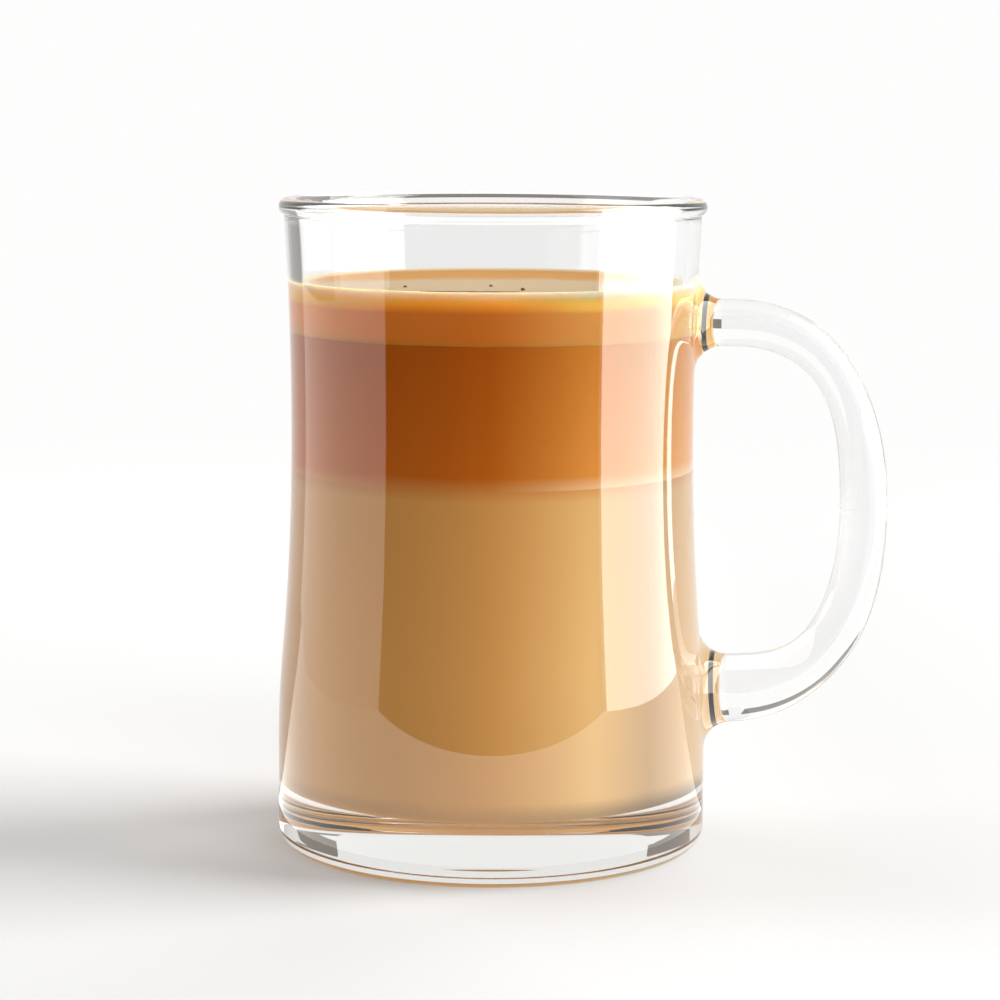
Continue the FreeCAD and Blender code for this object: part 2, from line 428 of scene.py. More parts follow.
def glass_piece():
    """Body and handle as one closed surface.

    The turned body leaves out a window of its outer wall at each arm.  One
    tube of rings runs from the upper window's edge along the fillet, the ear
    and the other fillet to the lower window's edge.
    """
    size = bpy.context.scene.chai_mug
    outline = mug_outline()
    points, quads, ends = spun(outline)
    rings = outline[outline[:, 0] > ON_AXIS]
    outer = rings[:, 0] > wall_radius(rings[:, 1]) - 0.01 * MM
    column, row = window_edge()
    keep = np.ones(quads.shape[:2], bool)
    edges = []
    for height, up in zip(arm_heights(), (1, -1)):
        centre = np.argmin(np.where(outer, abs(rings[:, 1] - height), 1))
        window = np.arange(-HALF_WINDOW, HALF_WINDOW)
        keep[np.ix_(centre + window, window % SEGMENTS)] = False
        edges.append((centre + up * row) * SEGMENTS + column % SEGMENTS)
    upper, upper_turn = arm_rings(arm_heights()[0], size.upper_root / 2, 1)
    lower, lower_turn = arm_rings(arm_heights()[1], size.lower_root / 2, -1)
    ear = ear_rings(upper_turn, lower_turn)
    share = np.linspace(0, 1, JOINING_RINGS + 2)[1:-1, None, None]
    tube = np.vstack([upper, upper[-1] * (1 - share) + ear[0] * share, ear, lower[::-1]])
    start = len(points)
    inner = start + np.arange(tube.shape[0] * tube.shape[1]).reshape(tube.shape[:2])
    index = np.vstack([edges[0], inner, edges[1]])
    following = np.roll(index, -1, axis=1)
    strip = np.stack([index[:-1], following[:-1], following[1:], index[1:]], axis=-1)
    groups = [quads[keep], ends, strip.reshape(-1, 4)]
    points = np.vstack([points, tube.reshape(-1, 3)])
    used = np.unique(np.concatenate([np.ravel(group) for group in groups]))
    renumber = np.zeros(len(points), int)
    renumber[used] = np.arange(len(used))
    return new_piece("glass_mug_clear", points[used], [renumber[group] for group in groups])


# --- materials -----------------------------------------------------------

def new_material(name):
    """A material with an empty node tree and its output."""
    material = bpy.data.materials.new(name)
    material.use_nodes = True
    tree = material.node_tree
    tree.nodes.clear()
    return material, tree, tree.nodes.new("ShaderNodeOutputMaterial")


def add(tree, kind, inputs=None, **settings):
    """A shader node with its settings and the values of its inputs."""
    node = tree.nodes.new("ShaderNode" + kind)
    for key, value in settings.items():
        setattr(node, key, value)
    for key, value in (inputs or {}).items():
        node.inputs[key].default_value = value
    return node


def clear_glass():
    """Clear soda-lime glass that lets lamps through to the drink."""
    material, tree, output = new_material("clear_glass")
    glass = add(tree, "BsdfPrincipled", {"Base Color": (1, 1, 1, 1), "Roughness": 0.0, "IOR": 1.5,
                                         "Transmission Weight": 1.0})
    through = add(tree, "BsdfTransparent", {"Color": (0.92, 0.925, 0.92, 1)})
    path = add(tree, "LightPath")
    lamps = add(tree, "Math", operation="MAXIMUM")
    mix = add(tree, "MixShader")
    link = tree.links.new
    link(path.outputs["Is Shadow Ray"], lamps.inputs[0])
    link(path.outputs["Is Diffuse Ray"], lamps.inputs[1])
    link(lamps.outputs[0], mix.inputs[0])
    link(glass.outputs[0], mix.inputs[1])
    link(through.outputs[0], mix.inputs[2])
    link(mix.outputs[0], output.inputs["Surface"])
    tint = add(tree, "VolumeAbsorption", {"Color": (0.50, 0.51, 0.48, 1), "Density": 5.0})
    link(tint.outputs[0], output.inputs["Volume"])
    return material


def ramp(tree, source, low, high, stops):
    """Colours set at stops between low and high, looked up at a value from source."""
    span = add(tree, "MapRange", {"From Min": low, "From Max": high})
    colours = add(tree, "ValToRGB")
    for i, (value, shade) in enumerate(stops):
        position = (value - low) / (high - low)
        places = colours.color_ramp.elements
        element = places[i] if i < 2 else places.new(position)
        element.position = position
        element.color = (*shade, 1)
    tree.links.new(source, span.inputs["Value"])
    tree.links.new(span.outputs[0], colours.inputs[0])
    return colours.outputs[0]


# Distances towards the handle, and factors of a layer's colour there.  They are painted light and
# shade for a drink lit from
# one side: paler towards the handle, where the key lamp stands, and lighter at the far left.  Being
# painted, this stays with the drink when the lamps move.
MILK_PAINTED_LIGHT = (
    (-0.038, (1.0, 1.1, 1.3)), (-0.03, (1.22, 1.27, 1.4)), (-0.018, (1.0, 1.0, 1.0)),
    (0.0, (1.02, 1.02, 1.02)), (0.018, (0.98, 1.25, 1.75)), (0.028, (0.58, 0.76, 1.35)),
    (0.037, (0.76, 1.05, 1.9)))
TEA_PAINTED_LIGHT = (
    (-0.03, (1.3, 1.45, 1.7)), (-0.018, (1.02, 1.0, 1.2)), (0.0, (1.0, 1.0, 1.0)),
    (0.011, (1.08, 1.55, 2.9)), (0.018, (1.17, 1.93, 4.5)), (0.028, (0.80, 1.5, 3.2)),
    (0.037, (1.15, 2.1, 6.0)))
FROTH_PAINTED_LIGHT = (
    (-0.03, (1.4, 1.6, 1.4)), (-0.018, (1.12, 1.15, 1.1)), (0.0, (1.0, 1.0, 1.0)),
    (0.011, (0.97, 1.4, 2.3)), (0.018, (0.93, 1.5, 2.7)), (0.028, (0.75, 1.12, 2.2)),
    (0.037, (0.85, 1.9, 4.0)))
LIP_PAINTED_LIGHT = (
    (-0.018, (1.0, 1.1, 1.1)), (0.0, (0.97, 1.0, 1.0)), (0.011, (0.72, 0.87, 0.92)),
    (0.02, (0.62, 0.72, 0.75)), (0.036, (0.7, 0.85, 0.95)))
SIDE_REACH = 40 * MM  # the painted light is looked up this far each side of the axis
LEVEL_SWAY = 0.5 * MM  # how far the layers' edges stray from level
LIP_FADE = (3 * MM, 1 * MM)  # below the froth's edge, where its own painted side light gives way to the lip's


def drink_material(name, low, high, stops, sides, depth=0.0, top=None):
    """An opaque, milky drink whose colour changes with its height.

    The stops are heights and linear colours.  The sides are painted light and
    shade: factors by distance towards the handle, which give way to the lip's
    own just under top.  Depth is how far red light spreads in it.
    """
    material, tree, output = new_material(name)
    link = tree.links.new
    body = add(tree, "BsdfPrincipled", {"Roughness": 0.4, "IOR": 1.34, "Specular IOR Level": 0.0})
    if depth:
        body.inputs["Subsurface Weight"].default_value = 1.0
        body.inputs["Subsurface Radius"].default_value = (1.0, 0.4, 0.12)
        body.inputs["Subsurface Scale"].default_value = depth
    where = add(tree, "TexCoord")
    split = add(tree, "SeparateXYZ")
    drift = add(tree, "TexNoise", {"Scale": 22.0, "Detail": 2.0})
    sway = add(tree, "MapRange", {"From Min": 0.3, "From Max": 0.7, "To Min": -LEVEL_SWAY,
                                  "To Max": LEVEL_SWAY})
    level = add(tree, "Math", operation="ADD")
    # painted light and shade: the colour multiplied by factors across the drink
    painted_side_light = add(tree, "Mix", {"Factor": 1.0}, data_type="RGBA", blend_type="MULTIPLY",
                  clamp_result=True)
    link(where.outputs["Object"], split.inputs[0])
    link(where.outputs["Object"], drift.inputs["Vector"])
    link(drift.outputs[0], sway.inputs["Value"])
    link(split.outputs["Z"], level.inputs[0])
    link(sway.outputs[0], level.inputs[1])
    link(ramp(tree, level.outputs[0], low, high, stops), painted_side_light.inputs["A"])
    link(ramp(tree, split.outputs["X"], -SIDE_REACH, SIDE_REACH, sides), painted_side_light.inputs["B"])
    shade = painted_side_light.outputs["Result"]
    if top:
        fade = add(tree, "MapRange", {"From Min": top - LIP_FADE[0], "From Max": top - LIP_FADE[1],
                                      "To Min": 1.0, "To Max": 0.0})
        rest = add(tree, "Math", {0: 1.0}, operation="SUBTRACT")
        lip = add(tree, "Mix", data_type="RGBA", blend_type="MULTIPLY")
        link(split.outputs["Z"], fade.inputs["Value"])
        link(fade.outputs[0], painted_side_light.inputs["Factor"])
        link(fade.outputs[0], rest.inputs[1])
        link(rest.outputs[0], lip.inputs["Factor"])
        link(shade, lip.inputs["A"])
        link(ramp(tree, split.outputs["X"], -SIDE_REACH, SIDE_REACH, LIP_PAINTED_LIGHT), lip.inputs["B"])
        shade = lip.outputs["Result"]
    link(shade, body.inputs["Base Color"])
    link(body.outputs[0], output.inputs["Surface"])
    return material


def distance_from(tree, position, x, y):
    """How far a position lies from the upright line through x and y."""
    off = add(tree, "VectorMath", {1: (x, y, 0)}, operation="SUBTRACT")
    level = add(tree, "VectorMath", {1: (1, 1, 0)}, operation="MULTIPLY")
    distance = add(tree, "VectorMath", operation="LENGTH")
    tree.links.new(position, off.inputs[0])
    tree.links.new(off.outputs[0], level.inputs[0])
    tree.links.new(level.outputs[0], distance.inputs[0])
    return distance.outputs["Value"]


CREAM_CENTRE = (0, -45 * MM)  # cream, partly painted sheen, lies nearer to this point, and again far behind it
CREAM_STRAY = 2.5 * MM  # how far the cream's edge wanders
CREAM_ENDS, BROWN_STARTS, BROWN_ENDS, CREAM_AGAIN = 48 * MM, 57 * MM, 76 * MM, 84 * MM
RING_STARTS, RING_ENDS = 32.5 * MM, 35.2 * MM  # radii of the pale ring, partly painted highlight


def froth_top_material(brown, cream, ring):
    """The froth's upper side, without gloss of its own.

    Pale cream covers the near half up to a shallow arc, browner froth lies
    behind it, and a pale ring climbs the glass.  The cream and the ring are
    partly the froth's own colour and partly a painted sheen and highlight,
    in place of the gloss it lacks.  Fine bubbles roughen it.
    """
    material, tree, output = new_material("froth_top")
    link = tree.links.new
    body = add(tree, "BsdfPrincipled", {"Roughness": 0.4, "IOR": 1.34, "Specular IOR Level": 0.0})
    where = add(tree, "TexCoord")
    swirl = add(tree, "TexNoise", {"Scale": 60.0, "Detail": 3.0, "Distortion": 1.0})
    stray = add(tree, "MapRange", {"From Min": 0.3, "From Max": 0.7, "To Min": -CREAM_STRAY,
                                   "To Max": CREAM_STRAY})
    strayed = add(tree, "Math", operation="ADD")
    swirled = ramp(tree, strayed.outputs[0], 0.0, 100 * MM, [
        (CREAM_ENDS, cream), (BROWN_STARTS, brown), (BROWN_ENDS, brown), (CREAM_AGAIN, cream)])
    climb = add(tree, "MapRange", {"From Min": RING_STARTS, "From Max": RING_ENDS},
                interpolation_type="SMOOTHSTEP")
    shade = add(tree, "Mix", data_type="RGBA")
    shade.inputs["B"].default_value = (*ring, 1)
    bubbles = add(tree, "TexVoronoi", {"Scale": 2600.0})
    bump = add(tree, "Bump", {"Strength": 0.12, "Distance": 0.2 * MM})
    place = where.outputs["Object"]
    link(place, swirl.inputs["Vector"])
    link(place, bubbles.inputs["Vector"])
    link(swirl.outputs[0], stray.inputs["Value"])
    link(distance_from(tree, place, *CREAM_CENTRE), strayed.inputs[0])
    link(stray.outputs[0], strayed.inputs[1])
    link(distance_from(tree, place, 0, 0), climb.inputs["Value"])
    link(climb.outputs["Result"], shade.inputs["Factor"])
    link(swirled, shade.inputs["A"])
    link(shade.outputs["Result"], body.inputs["Base Color"])
    link(bubbles.outputs["Distance"], bump.inputs["Height"])
    link(bump.outputs[0], body.inputs["Normal"])
    link(body.outputs[0], output.inputs["Surface"])
    return material


def matt_material(name, dark, light, grain):
    """A dull solid between two colours, mottled at grain marks to the metre."""
    material, tree, output = new_material(name)
    body = add(tree, "BsdfPrincipled", {"Roughness": 0.6, "IOR": 1.4})
    where = add(tree, "TexCoord")
    mottle = add(tree, "TexNoise", {"Scale": grain, "Detail": 3.0})
    tree.links.new(where.outputs["Object"], mottle.inputs["Vector"])
    shade = ramp(tree, mottle.outputs[0], 0.0, 1.0, [(0.35, dark), (0.65, light)])
    tree.links.new(shade, body.inputs["Base Color"])
    tree.links.new(body.outputs[0], output.inputs["Surface"])
    return material


# --- pieces --------------------------------------------------------------

class ChaiMakeMug(bpy.types.Operator):
    """Makes the mug's glass, body and handle in one"""

    bl_idname = "chai.make_mug"
    bl_label = "Glass mug"

    def execute(self, context):
        mug = glass_piece()
        mug.data.materials.append(clear_glass())
        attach(mug, "root")
        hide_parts("glass_mug")
        return {"FINISHED"}


PAST_LAYER = 1 * MM  # how far a layer's colours go on past its edge, for the sway
ACROSS = 5 * MM  # the step of a layer's flat ends


def blended(first, second, share=0.5):
    """The colour a share of the way from first to second."""
    return tuple(a + (b - a) * share for a, b in zip(first, second))


class ChaiMakeMilkTea(bpy.types.Operator):
    """Fills the bottom of the bowl with milk tea"""

    bl_idname = "chai.make_milk_tea"
    bl_label = "Milk tea"

    def execute(self, context):
        size = context.scene.chai_drink
        corner = context.scene.chai_mug.floor_corner
        centre = (BASE_RADIUS - WALL - corner, FLOOR + corner)
        outline = joined(
            level_line(0, centre[0], FLOOR - size.into_wall),
            arc(centre, corner + size.into_wall, -90, 0, 4),
            wall_line(evenly(centre[1], MILK_HIGH.z, 2 * MM), WALL - size.into_wall),
            level_line(wall_radius(MILK_HIGH.z, WALL - size.into_wall), 0, MILK_HIGH.z, ACROSS))
        milk = round_piece("milk_tea_fill", outline)
        meet = blended(size.milk_high, size.tea_low)
        past = MILK_HIGH.z + PAST_LAYER
        milk.data.materials.append(drink_material("milk_tea", FLOOR, past, [
            (FLOOR, size.milk_low), (MILK_HIGH.z - size.mixing / 2, size.milk_high),
            (MILK_HIGH.z, meet), (past, blended(meet, size.tea_low, 0.4))], MILK_PAINTED_LIGHT))
        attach(milk, "root")
        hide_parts("milk_tea")
        return {"FINISHED"}


class ChaiMakeBrewedTea(bpy.types.Operator):
    """Lays the brewed tea over the milk tea"""

    bl_idname = "chai.make_brewed_tea"
    bl_label = "Brewed tea"

    def execute(self, context):
        size = context.scene.chai_drink
        inset = WALL - size.into_wall
        outline = joined(
            level_line(0, wall_radius(TEA_LOW.z, inset), TEA_LOW.z, ACROSS),
            wall_line(evenly(TEA_LOW.z, TEA_HIGH.z, 2 * MM), inset),
            level_line(wall_radius(TEA_HIGH.z, inset), 0, TEA_HIGH.z, ACROSS))
        tea = round_piece("brewed_tea_fill", outline)
        meet = blended(size.milk_high, size.tea_low)
        past = TEA_LOW.z - PAST_LAYER
        tea.data.materials.append(drink_material("brewed_tea", past, TEA_HIGH.z, [
            (past, blended(meet, size.milk_high, 0.4)), (TEA_LOW.z, meet),
            (TEA_LOW.z + size.mixing / 2, size.tea_low), (TEA_HIGH.z, size.tea_high)], TEA_PAINTED_LIGHT))
        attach(tea, "root")
        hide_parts("brewed_tea")
        return {"FINISHED"}


DISH_SINK = 0.3  # of the dish's rise, how far the middle lies under the froth's own height
FROTH_PAINTED_GLOW = (3.7 * MM, 2.5 * MM, 1.4 * MM)  # under its edge, where it turns paler: painted light for the light that comes in through its top
FROTH_GLOW_DEPTH = 2.5 * MM


def froth_level(radius):
    """The height of the froth's upper side at each radius.

    It is level in the middle and climbs towards the glass like the square of
    the share of the dish's width that the radius has gone.
    """
    size = bpy.context.scene.chai_drink
    edge = wall_radius(FROTH_HIGH.z, WALL)
    share = np.clip((radius - edge + size.dish_width) / size.dish_width, 0, 1.1)
    return FROTH_HIGH.z + size.dish_rise * (share ** 2 - DISH_SINK)


class ChaiMakeFroth(bpy.types.Operator):
    """Lays the froth over the brewed tea"""

    bl_idname = "chai.make_froth"
    bl_label = "Froth"

    def execute(self, context):
        size = context.scene.chai_drink
        inset = WALL - size.into_wall
        edge = wall_radius(FROTH_HIGH.z, inset)
        top = evenly(edge, 0, 0.5 * MM)
        outline = joined(
            level_line(0, wall_radius(FROTH_LOW.z, inset), FROTH_LOW.z, ACROSS),
            wall_line(evenly(FROTH_LOW.z, froth_level(edge), 0.5 * MM), inset),
            np.stack([top, froth_level(top)], axis=-1))
        froth = round_piece("froth_fill", outline)
        high = FROTH_HIGH.z + size.dish_rise
        low_ends, high_at, lip_at = (FROTH_HIGH.z - below for below in FROTH_PAINTED_GLOW)
        # the paler bands under the froth's edge are painted light
        froth.data.materials.append(drink_material("froth", FROTH_LOW.z, high, [
            (FROTH_LOW.z, size.froth_low), (low_ends, size.froth_low), (high_at, size.froth_high),
            (lip_at, size.froth_lip), (FROTH_HIGH.z, size.froth_edge), (high, size.froth_edge)],
            FROTH_PAINTED_LIGHT, FROTH_GLOW_DEPTH, FROTH_HIGH.z))
        froth.data.materials.append(froth_top_material(size.top_brown, size.cream, size.top_ring))
        normals = np.zeros(3 * len(froth.data.polygons), np.float32)
        froth.data.polygons.foreach_get("normal", normals)
        froth.data.polygons.foreach_set("material_index", (normals[2::3] > 0.5).astype(np.int32))
        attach(froth, "root")
        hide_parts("froth")
        return {"FINISHED"}


def unit_ball(rings, segments):
    """Points and faces of a closed ball of radius 1, its poles below and above."""
    points, quads, ends = spun(arc((0, 0), 1, -90, 90, 180 / rings), segments)
    return points, [quads.reshape(-1, 4), ends]


def on_froth(points):
    """The same points, raised by the height of the froth below each."""
    radius = np.hypot(points[:, 0], points[:, 1])
    return points + np.stack([0 * radius, 0 * radius, froth_level(radius)], axis=-1)


SPECKS = (  # x, y and three half sizes in millimetres, and the turn about the upright axis
    (-15.7, -17.0, 0.34, 0.28, 0.26, 20), (-0.3, -14.0, 0.42, 0.32, 0.26, -35),
    (5.4, -24.0, 0.50, 0.38, 0.36, 60))
SPECK_LIFT = 0.3  # of a speck's half height, how far its middle is above the froth


class ChaiMakeSpecks(bpy.types.Operator):
    """Scatters the ground spice on the froth"""

    bl_idname = "chai.make_specks"
    bl_label = "Spice specks"

    def execute(self, context):
        """Each speck is a ball, stretched, and swollen by two sine waves into lumps."""
        size = context.scene.chai_drink
        ball, ball_groups = unit_ball(12, 20)
        points, groups = [], []
        for k, (x, y, *half, turn) in enumerate(SPECKS):
            swell = (1 + 0.16 * np.sin(4 * ball[:, 0] + 2 * ball[:, 2] + k)
                     + 0.12 * np.sin(6 * ball[:, 1] - 3 * ball[:, 0] + 2 * k))
            lump = ball * swell[:, None] * np.array(half)
            c, s = math.cos(math.radians(turn)), math.sin(math.radians(turn))
            lump = lump @ np.array([[c, s, 0], [-s, c, 0], [0, 0, 1]]) + [x, y, SPECK_LIFT * half[2]]
            groups += [group + k * len(ball) for group in ball_groups]
            points.append(lump * MM)
        specks = new_piece("spice_specks", on_froth(np.vstack(points)), groups, 180)
        specks.data.materials.append(matt_material("spice", size.speck_dark, size.speck_light, 4000))
        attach(specks, "root")
        return {"FINISHED"}


class ChaiMakeSkin(bpy.types.Operator):
    """Lays the thin wrinkle of skin on the froth"""

    bl_idname = "chai.make_skin"
    bl_label = "Skin wrinkle"

    def execute(self, context):
        """A ball drawn out to a thread, its middle line a shallow parabola, in millimetres."""
        size = context.scene.chai_drink
        ball, groups = unit_ball(60, 12)
        along = ball[:, 2]
        thread = np.stack([-4.0 + 8.9 * along, -29.2 + 1.1 * along ** 2 + 0.25 * ball[:, 0],
                           0.15 * ball[:, 1] + 0.05], axis=-1) * MM
        skin = new_piece("froth_skin", on_froth(thread), groups, 180)
        pale = blended(size.skin, size.cream)
        skin.data.materials.append(matt_material("skin", size.skin, pale, 600))
        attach(skin, "root")
        return {"FINISHED"}


# --- studio --------------------------------------------------------------

PANELS = (  # name, azimuth from the front towards the handle, distance, height, side, radiance
    ("key_panel", 92, 1.2, 0.95, 0.9, 11.4),
    ("side_panel", 92, 1.3, 0.62, 1.2, 2.3),
    ("front_panel", 20, 1.3, 0.62, 1.2, 4.5),
    ("left_panel", -120, 1.3, 0.62, 1.2, 4.6),
    ("back_panel", 160, 1.3, 0.62, 1.2, 4.0))
BOUNCE_DEPTH, BOUNCE_SIDE, BOUNCE = 0.03, 0.11, 1.3

CARD_SIDE = 0.333  # from the axis to the cards at the sides
CARD_FRONT = 0.20  # and to the black card in front
CARD_TOP = 0.6
CARD_STEP = 0.068  # the left card is longer below this height
UPRIGHT_CARDS = (  # name, both ends on the floor, lower edge, upper edge and radiance
    ("card_left_low", (-CARD_SIDE, -0.21), (-CARD_SIDE, 0.26), 0.0, CARD_STEP, 2.0),
    ("card_left_high", (-CARD_SIDE, -0.21), (-CARD_SIDE, 0.02), CARD_STEP, CARD_TOP, 2.0),
    ("card_front", (-CARD_SIDE, -CARD_FRONT), (CARD_SIDE, -CARD_FRONT), 0.0, CARD_TOP, 0.0),
    ("card_right", (CARD_SIDE, -0.187), (CARD_SIDE, 0.15), 0.0, CARD_TOP, 8.0))
CARD_TINT = (1, 1, 0.98)
FLOOR_CARD_INNER = 0.055
FLOOR_CARD_TURN = (-125, 115)  # azimuths of its ends, in degrees
FLOOR_CARD = 2.3

# A glow's tests: an output of the Light Path, how it is compared, and with what.  Unlike a real
# card, it shows only to light with such a count of reflections or of passes through glass.
REFLECTED = ("Glossy Depth", "GREATER_THAN", 0.5)
NOT_REFLECTED = ("Glossy Depth", "LESS_THAN", 0.5)
THROUGH_GLASS = ("Transmission Depth", "GREATER_THAN", 1.5)
THROUGH_ONE_WALL = ("Transmission Depth", "LESS_THAN", 2.5)

FLAG_PLACE = 0.15  # how far behind the mug's axis the flags stand
FLAG_GREY, FLAG_TINT = 0.25, (1, 0.93, 0.85)
FLAGS = (  # name, left, right, lower edge, upper edge and tests
    ("flag_base_far", -0.18, -0.066, 0.040, 0.125, (REFLECTED, THROUGH_GLASS)),
    ("flag_base_near", 0.062, 0.15, 0.037, 0.050, (REFLECTED, THROUGH_GLASS)),
    ("flag_handle_low", -0.052, 0.045, 0.075, 0.112, (NOT_REFLECTED, THROUGH_ONE_WALL)),
    ("flag_handle_high", -0.085, -0.052, 0.08, 0.137, (NOT_REFLECTED, THROUGH_ONE_WALL)))

CAMERA_PLACE = (0.00117, -0.596, 0.1458)
CAMERA_DOWN, CAMERA_ROLL = 7.67, -0.23  # degrees
CAMERA_LENS, CAMERA_SENSOR = 114.6, 36.0


def area_light(name, place, side, radiance, target=(0, 0, 0.05)):
    """A square panel of one radiance that faces target and isn't seen itself."""
    lamp = bpy.data.lights.new(name, "AREA")
    lamp.shape = "RECTANGLE"
    lamp.size = lamp.size_y = side
    lamp.energy = radiance * math.pi * side * side
    holder = bpy.data.objects.new(name, lamp)
    bpy.context.scene.collection.objects.link(holder)
    holder.location = place
    holder.rotation_euler = (Vector(target) - Vector(place)).to_track_quat("-Z", "Y").to_euler()
    holder.visible_camera = False
    holder.visible_glossy = False
    holder.visible_transmission = False


def make_lights():
    """The panels round the mug, and one under it for what the floor throws back."""
    for name, azimuth, distance, height, side, radiance in PANELS:
        turn = math.radians(azimuth)
        place = (distance * math.sin(turn), -distance * math.cos(turn), height)
        area_light(name, place, side, radiance)
    area_light("floor_bounce", (0, 0, -BOUNCE_DEPTH), BOUNCE_SIDE, BOUNCE)


def shown_where(name, radiance, tint, *tests):
    """A glow that shows only in light whose path passes every test."""
    material, tree, output = new_material(name)
    link = tree.links.new
    glow = add(tree, "Emission", {"Color": (*tint, 1), "Strength": radiance})
    clear = add(tree, "BsdfTransparent")
    path = add(tree, "LightPath")
    mix = add(tree, "MixShader")
    passed = None
    for depth, comparison, limit in tests:
        test = add(tree, "Math", {1: limit}, operation=comparison)
        link(path.outputs[depth], test.inputs[0])
        if passed:
            both = add(tree, "Math", operation="MULTIPLY")
            link(passed, both.inputs[0])
            link(test.outputs[0], both.inputs[1])
            test = both
        passed = test.outputs[0]
    link(passed, mix.inputs[0])
    link(clear.outputs[0], mix.inputs[1])
    link(glow.outputs[0], mix.inputs[2])
    link(mix.outputs[0], output.inputs["Surface"])
    return material


def hang(piece, material):
    """Gives a card its glow and hides it from all but mirror reflections and refraction."""
    piece.data.materials.append(material)
    piece.visible_camera = False
    piece.visible_diffuse = False
    piece.visible_shadow = False
    piece.visible_volume_scatter = False


def upright_card(name, start, end, low, high, radiance, tint, *tests):
    """A flat card over a straight line on the floor, between two heights."""
    corners = [(*start, low), (*end, low), (*end, high), (*start, high)]
    hang(new_piece(name, corners, [[[0, 1, 2, 3]]]), shown_where(name, radiance, tint, *tests))


def floor_card(name, inner, side, front, azimuths, radiance, steps=120):
    """A low card round the mug, out to straight edges at its sides and in front.

    Point (i, j) is at azimuth i, on the inner circle or on the edge: the edge's
    distance is the lesser of side over the azimuth's sine and front over its
    cosine, where that is positive.
    """
    azimuth = np.radians(np.linspace(*azimuths, steps + 1))
    ahead = np.where(np.cos(azimuth) > 0.01, np.cos(azimuth), 0.01)
    edge = np.minimum(side / np.maximum(abs(np.sin(azimuth)), 0.01), front / ahead)
    reach = np.stack([np.full(len(edge), inner), np.minimum(edge, 1.3 * side)], axis=-1)
    points = np.stack([reach * np.sin(azimuth)[:, None], -reach * np.cos(azimuth)[:, None],
                       np.full(reach.shape, 0.2 * MM)], axis=-1).reshape(-1, 3)
    k = 2 * np.arange(steps)
    piece = new_piece(name, points, [np.stack([k, k + 1, k + 3, k + 2], axis=-1)])
    hang(piece, shown_where(name, radiance, CARD_TINT, REFLECTED))


def make_cards():
    """The cards that the glass mirrors, and the flags behind it that darken its edges."""
    for name, start, end, low, high, radiance in UPRIGHT_CARDS:
        upright_card(name, start, end, low, high, radiance, CARD_TINT, REFLECTED)
    floor_card("card_floor", FLOOR_CARD_INNER, CARD_SIDE, CARD_FRONT, FLOOR_CARD_TURN, FLOOR_CARD)
    for name, left, right, low, high, tests in FLAGS:
        upright_card(name, (left, FLAG_PLACE), (right, FLAG_PLACE), low, high, FLAG_GREY,
                     FLAG_TINT, *tests)


def floor_material():
    """A matt pale floor with painted shade: a little darker beside and behind the mug on the
    handle's side, to even out the key lamp's light there.

    It fades into the world's light far from the mug.
    """
    material, tree, output = new_material("floor")
    link = tree.links.new
    where = add(tree, "TexCoord")
    split = add(tree, "SeparateXYZ")
    # painted shade on the handle's side, where the key lamp lights the floor most
    aside = add(tree, "MapRange", {"From Min": 0.0, "From Max": 0.09},
                interpolation_type="SMOOTHSTEP")
    behind = add(tree, "MapRange", {"From Min": -0.08, "From Max": 0.03},
                 interpolation_type="SMOOTHSTEP")
    both = add(tree, "Math", operation="MULTIPLY")
    shade = add(tree, "Mix", data_type="RGBA")
    shade.inputs["A"].default_value = (0.55, 0.55, 0.547, 1)
    shade.inputs["B"].default_value = (0.475, 0.475, 0.473, 1)
    body = add(tree, "BsdfDiffuse")
    clear = add(tree, "BsdfTransparent")
    fade = add(tree, "MapRange", {"From Min": 0.25, "From Max": 0.7},
               interpolation_type="SMOOTHSTEP")
    mix = add(tree, "MixShader")
    link(where.outputs["Object"], split.inputs[0])
    link(split.outputs["X"], aside.inputs["Value"])
    link(split.outputs["Y"], behind.inputs["Value"])
    link(aside.outputs["Result"], both.inputs[0])
    link(behind.outputs["Result"], both.inputs[1])
    link(both.outputs[0], shade.inputs["Factor"])
    link(shade.outputs["Result"], body.inputs["Color"])
    link(distance_from(tree, where.outputs["Object"], 0, 0), fade.inputs["Value"])
    link(fade.outputs["Result"], mix.inputs[0])
    link(body.outputs[0], mix.inputs[1])
    link(clear.outputs[0], mix.inputs[2])
    link(mix.outputs[0], output.inputs["Surface"])
    return material


def make_floor():
    """A round floor whose rings crowd towards the mug."""
    rings = np.concatenate([np.geomspace(3.0, 0.02, 60), [0]])
    outline = np.stack([rings, np.full(len(rings), -0.05 * MM)], axis=-1)
    floor = round_piece("floor", outline, 96)
    floor.data.materials.append(floor_material())
    floor.visible_diffuse = False
    floor.visible_shadow = False


def make_world(scene):
    """A pale surround, bright to look at and dim as a lamp."""
    world = bpy.data.worlds.new("studio")
    world.use_nodes = True
    tree = world.node_tree
    tree.nodes.clear()
    output = tree.nodes.new("ShaderNodeOutputWorld")
    seen = add(tree, "Background", {"Color": (0.985, 0.985, 0.98, 1)})
    lit = add(tree, "Background", {"Color": (1, 1, 1, 1), "Strength": 0.03})
    path = add(tree, "LightPath")
    mix = add(tree, "MixShader")
    tree.links.new(path.outputs["Is Diffuse Ray"], mix.inputs[0])
    tree.links.new(seen.outputs[0], mix.inputs[1])
    tree.links.new(lit.outputs[0], mix.inputs[2])
    tree.links.new(mix.outputs[0], output.inputs["Surface"])
    world.cycles.sampling_method = "NONE"
    scene.world = world


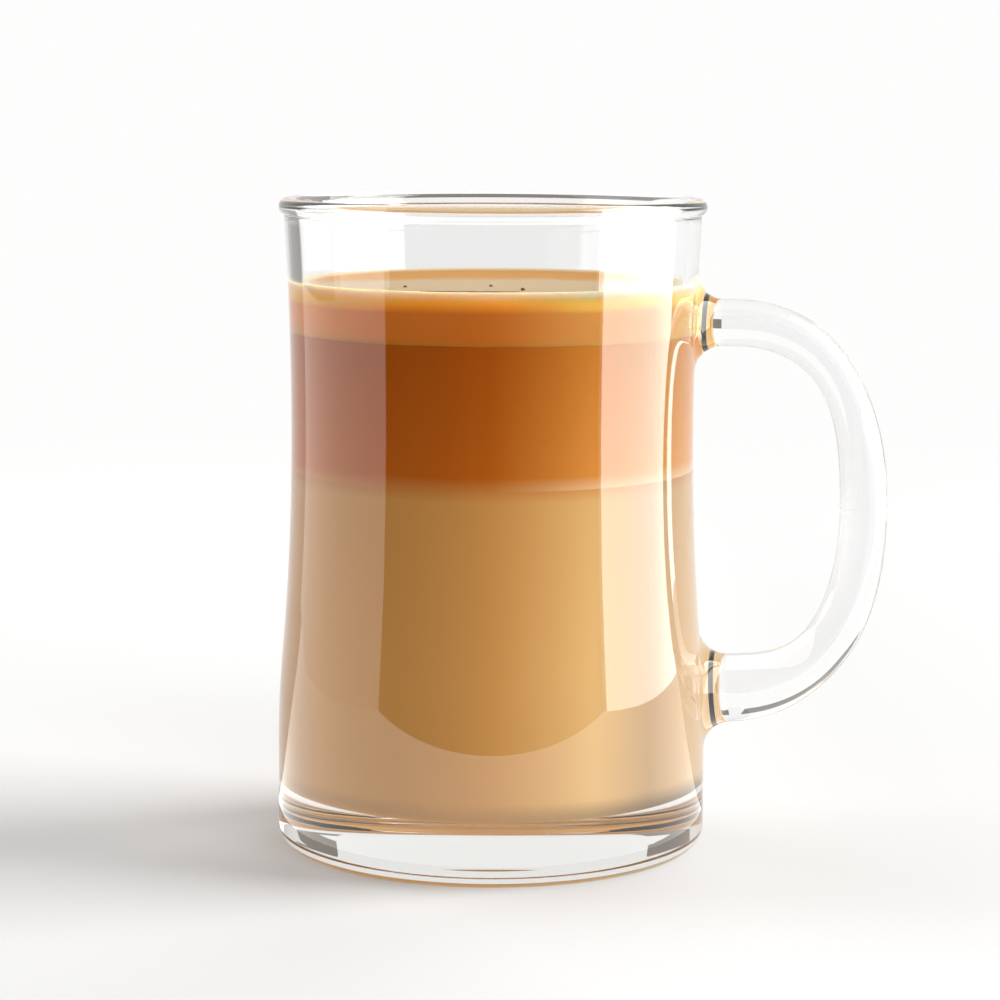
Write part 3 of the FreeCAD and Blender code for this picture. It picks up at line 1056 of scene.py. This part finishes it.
def make_camera(scene):
    """A long lens in front of the mug, a little above it and looking down."""
    camera = bpy.data.cameras.new("camera")
    camera.sensor_width = CAMERA_SENSOR
    camera.lens = CAMERA_LENS
    holder = bpy.data.objects.new("camera", camera)
    scene.collection.objects.link(holder)
    holder.location = CAMERA_PLACE
    holder.rotation_euler = (math.radians(90 - CAMERA_DOWN), math.radians(CAMERA_ROLL), 0)
    scene.camera = holder
    scene.view_settings.view_transform = "Standard"


class ChaiMakeStage(bpy.types.Operator):
    """Sets up the pale floor, the soft lights and the camera"""

    bl_idname = "chai.make_stage"
    bl_label = "Studio"

    def execute(self, context):
        make_floor()
        make_world(context.scene)
        make_lights()
        make_cards()
        make_camera(context.scene)
        return {"FINISHED"}


# --- panel and registration ----------------------------------------------

class ChaiPanel(bpy.types.Panel):
    """Lists the sizes, the colours and the pieces"""

    bl_idname = "VIEW3D_PT_chai"
    bl_label = "Masala chai"
    bl_space_type = "VIEW_3D"
    bl_region_type = "UI"
    bl_category = "Chai"

    def draw(self, context):
        for sizes in (context.scene.chai_mug, context.scene.chai_drink):
            column = self.layout.column()
            for name in sizes.__annotations__:
                column.prop(sizes, name)
        for maker in MAKERS:
            self.layout.operator(maker.bl_idname)


MAKERS = (ChaiMakeMug, ChaiMakeMilkTea, ChaiMakeBrewedTea, ChaiMakeFroth, ChaiMakeSpecks,
          ChaiMakeSkin, ChaiMakeStage)
CLASSES = (ChaiMugSizes, ChaiDrinkSizes, *MAKERS, ChaiPanel)


def register():
    for each in CLASSES:
        bpy.utils.register_class(each)
    bpy.types.Scene.chai_mug = PointerProperty(type=ChaiMugSizes)
    bpy.types.Scene.chai_drink = PointerProperty(type=ChaiDrinkSizes)


def unregister():
    del bpy.types.Scene.chai_drink
    del bpy.types.Scene.chai_mug
    for each in reversed(CLASSES):
        bpy.utils.unregister_class(each)


def main():
    register()
    bpy.ops.chai.make_mug()
    bpy.ops.chai.make_milk_tea()
    bpy.ops.chai.make_brewed_tea()
    bpy.ops.chai.make_froth()
    bpy.ops.chai.make_specks()
    bpy.ops.chai.make_skin()
    bpy.ops.chai.make_stage()


if __name__ == "__main__":
    main()
